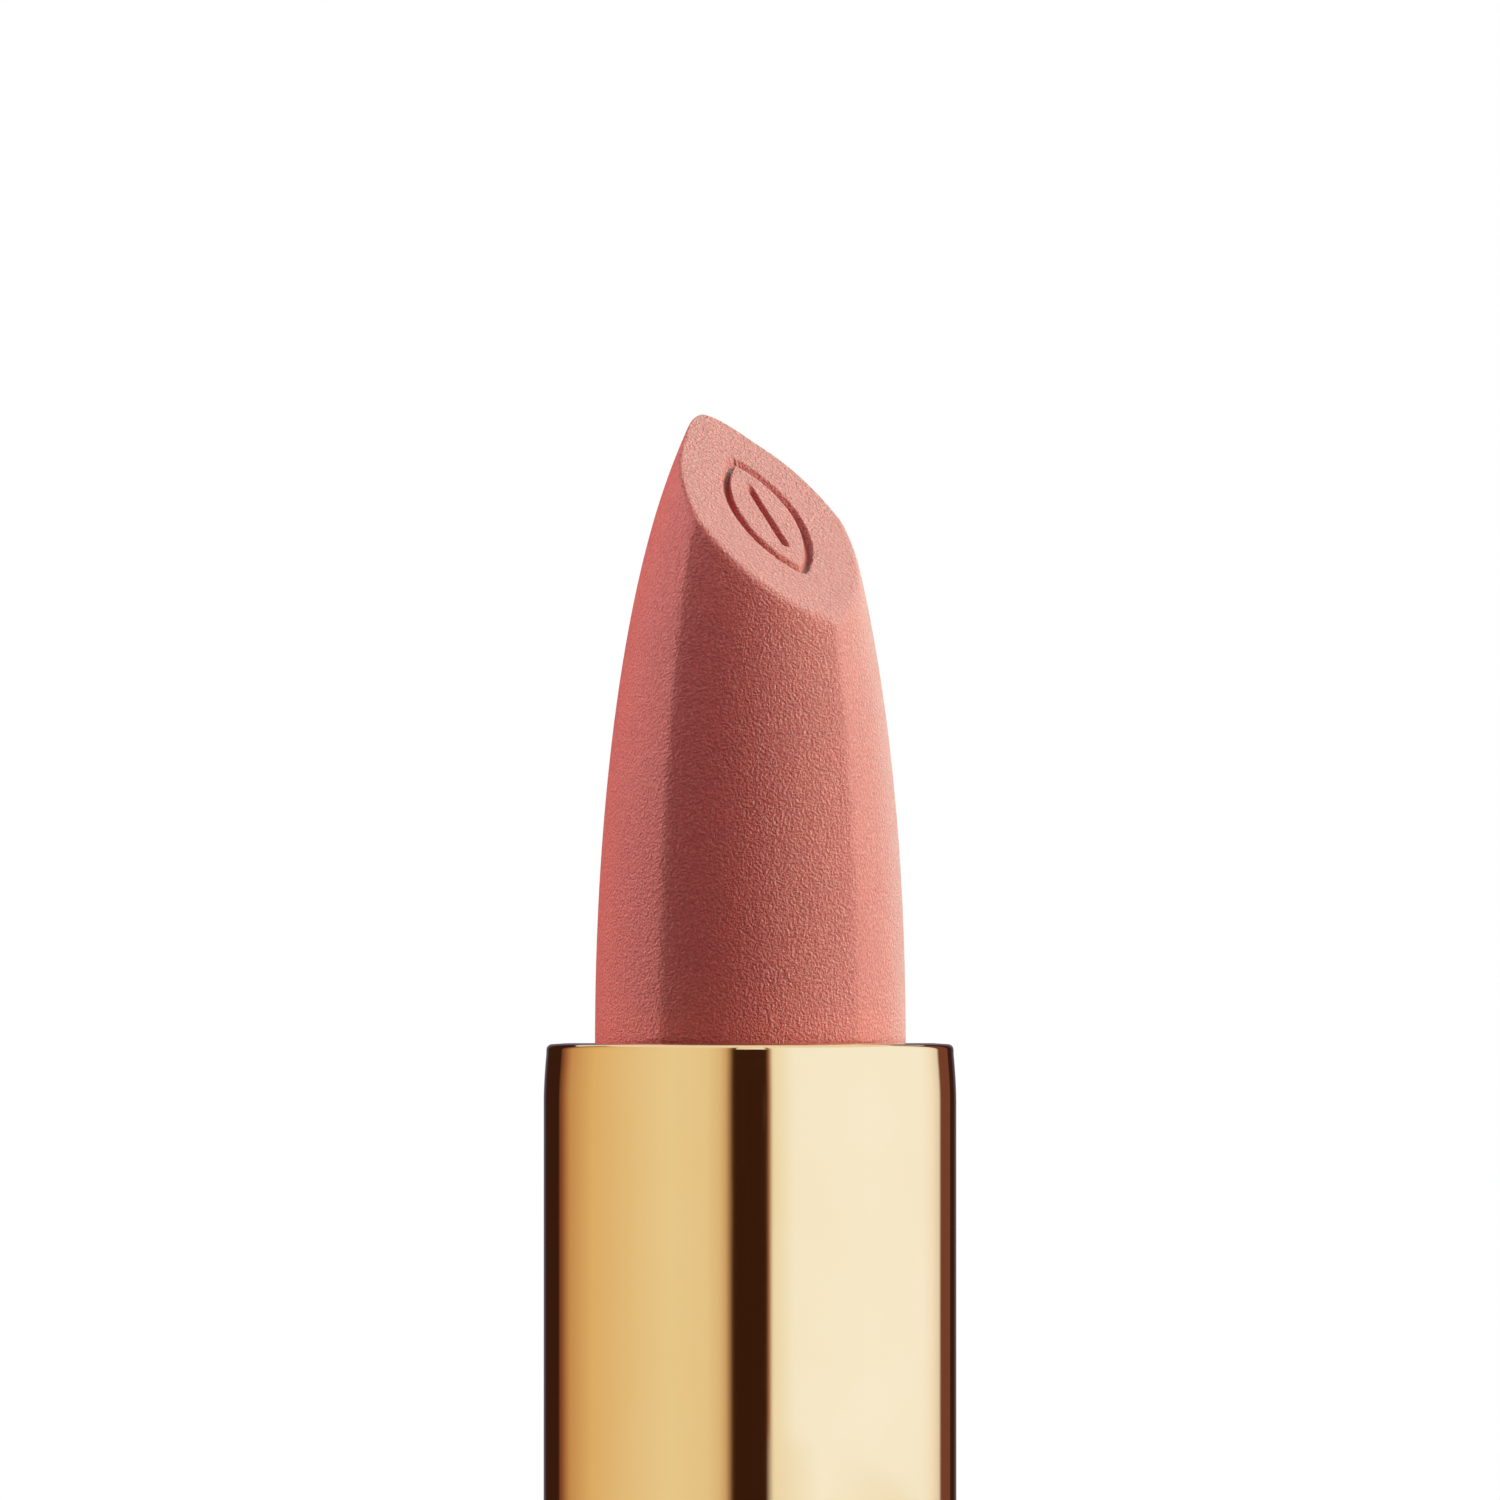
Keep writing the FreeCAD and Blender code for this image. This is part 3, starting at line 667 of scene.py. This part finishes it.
def make_world():
    """White to the camera; to everything else a dim warm room."""
    world = bpy.data.worlds.new("studio_world")
    world.use_nodes = True
    tree = world.node_tree
    back = tree.nodes["Background"]
    path = tree.nodes.new("ShaderNodeLightPath")
    mix = tree.nodes.new("ShaderNodeMix")
    mix.data_type = "RGBA"
    mix.inputs[MIX_A].default_value = (0.040, 0.014, 0.008, 1)
    mix.inputs[MIX_B].default_value = (1, 1, 1, 1)
    tree.links.new(path.outputs["Is Camera Ray"], mix.inputs["Factor"])
    tree.links.new(mix.outputs[MIX_COLOUR_OUT], back.inputs["Color"])
    bpy.context.scene.world = world


def make_camera():
    """Level with the sleeve's rim, a long lens from 600 mm, tilted up a touch."""
    distance, view_width, rise = 600.0, 58.55, 11.44
    data = bpy.data.cameras.new("camera")
    data.sensor_width = 36
    data.lens = data.sensor_width * distance / view_width
    data.clip_start, data.clip_end = 0.01, 10
    cam = bpy.data.objects.new("camera", data)
    bpy.context.scene.collection.objects.link(cam)
    cam.location = (0, -distance * MM, RIM_Z * MM)
    cam.rotation_euler = (math.radians(90) + math.atan2(rise, distance), 0, 0)
    bpy.context.scene.camera = cam


def link_lights(name, lights, receivers):
    """Lets these lights reach only these objects."""
    group = bpy.data.collections.new(name)
    for obj in receivers:
        group.objects.link(obj)
    for light in lights:
        light.light_linking.receiver_collection = group


def light_studio(wax, bright_metal):
    """Bright metal sees only the glowing cards; wax and the rest have softboxes of their own."""
    glowing_card(
        "card_left",
        -134,
        -8,
        [
            (-134, (0.10, 0.03, 0.01)),
            (-128, (0.30, 0.09, 0.025)),
            (-120, (0.54, 0.25, 0.07)),
            (-98, (0.72, 0.41, 0.13)),
            (-45, (0.80, 0.58, 0.26)),
            (-24, (0.78, 0.54, 0.24)),
            (-17, (0.71, 0.46, 0.19)),
            (-13.5, (0.62, 0.34, 0.13)),
            (-9.5, (0.08, 0.025, 0.006)),
            (-8, (0.03, 0.01, 0.004)),
        ],
        WALL + GROUND[1:],
    )
    glowing_card(
        "card_right",
        9,
        150,
        [
            (9, (0.09, 0.02, 0.006)),
            (10.4, (0.28, 0.09, 0.03)),
            (12.7, (0.84, 0.66, 0.38)),
            (25, (0.92, 0.80, 0.57)),
            (70, (0.93, 0.82, 0.60)),
            (112, (0.92, 0.80, 0.57)),
            (122, (0.90, 0.72, 0.46)),
            (131, (0.76, 0.57, 0.34)),
            (134, (0.17, 0.045, 0.016)),
            (150, (0.17, 0.045, 0.018)),
        ],
        WALL,
    )
    glowing_card(
        "card_back",
        160,
        200,
        [
            (160, (0.04, 0.015, 0.008)),
            (172, (0.15, 0.10, 0.075)),
            (188, (0.15, 0.10, 0.075)),
            (200, (0.04, 0.015, 0.008)),
        ],
        WALL,
    )
    glowing_card(
        "card_gap",
        -8,
        9,
        [(-8, (0.80, 0.58, 0.28)), (9, (0.88, 0.72, 0.46))],
        OVER_THE_PIECES,
    )
    glowing_card(
        "card_ground",
        9,
        226,
        [
            (9, (0.09, 0.02, 0.006)),
            (13, (0.84, 0.66, 0.38)),
            (40, (0.93, 0.81, 0.58)),
            (120, (0.86, 0.68, 0.42)),
            (141, (0.36, 0.17, 0.06)),
            (158, (0.88, 0.72, 0.46)),
            (190, (0.80, 0.58, 0.28)),
            (208, (0.26, 0.10, 0.03)),
            (226, (0.30, 0.12, 0.035)),
        ],
        GROUND,
    )
    glowing_dome("card_top", (0.80, 0.62, 0.36))
    aim = RIM_Z + 11  # about the middle of the bullet
    on_wax = [
        softbox("box_high_right", 126, 430, 330, 260, 300, 1.8, (0.34, 1, 0.95), aim),
        softbox("box_rim_right", 151, 120, 420, 180, 420, 0.85, (0.45, 1, 0.92), aim),
        softbox("box_front_side", 84, 150, 420, 160, 500, 4.1, (0.48, 1, 0.82), aim),
        softbox("box_front_right", 62, 150, 420, 200, 500, 1.75, (1, 0.32, 0.29), aim),
        softbox("box_left", -107, 200, 420, 320, 800, 4.8, (1, 0.68, 0.70), aim),
    ]
    on_rest = [
        softbox("room_right", 95, 420, 360, 300, 300, 0.9, (1, 0.99, 0.97), aim),
        softbox("room_left", -70, 380, 420, 400, 400, 0.9, (1, 0.99, 0.98), aim),
        sky_light("room_sky", 35, 60, 2.3),
    ]
    link_lights("lit_wax", on_wax, [wax])
    meshes = [o for o in bpy.context.scene.objects if o.type == "MESH"]
    link_lights("lit_rest", on_rest, [o for o in meshes if o != wax and o not in bright_metal])
    for piece in meshes:
        if piece.name.startswith("cap_"):
            piece.visible_glossy = False  # keeps the cap's image off the sleeve


# ---- Putting it together ------------------------------------------------------------------


def main():
    scene = bpy.context.scene
    scene.view_settings.view_transform = "Standard"
    gold = polished_gold("gold_polished")
    gold_handled = polished_gold("gold_handled", wear=0.03)
    finishes = {
        "shade_label": paper("label_paper_blank"),
        "base_weight": turned_steel("steel_turned"),
        "base_liner": plastic("liner_black", (0.022, 0.020, 0.020), 0.45),
        "guide_tube": plastic("guide_ivory", (0.78, 0.76, 0.70), 0.32, wax=0.1),
        "friction_washer": plastic("washer_elastomer", (0.03, 0.03, 0.032), 0.7, 0.2, 0.01),
        "cam_spiral": plastic("spiral_ivory", (0.66, 0.64, 0.58), 0.4, wax=0.1),
        "carrier_cup": plastic("cup_champagne", (0.72, 0.52, 0.27), 0.25, 0.2, 0.002),
    }
    finishes["retaining_ring"] = finishes["base_weight"]
    finishes["cap_weight"] = finishes["base_weight"]
    finishes["cap_liner"] = finishes["base_liner"]
    for node, material in finishes.items():
        for slot in NODES[node].material_slots:
            slot.material = material
    wax = make_bullet(lipstick_wax("wax_matte"))
    bright = [
        make_sleeve(gold),
        make_base_shell(gold_handled),
        make_collar(
            "base_ring", "base", "base_collar", COLLAR_LOW[2], COLLAR_HIGH[2], BASE_BORE, gold
        ),
        make_cap_shell(gold_handled),
        make_cap_plate(gold),
        make_collar("cap_ring", "cap", "cap_collar", 0.0, CAP_LOW[2], CAP_BORE, gold, CAP_CENTRE),
    ]
    make_floor()
    make_world()
    make_camera()
    light_studio(wax, bright)


main()
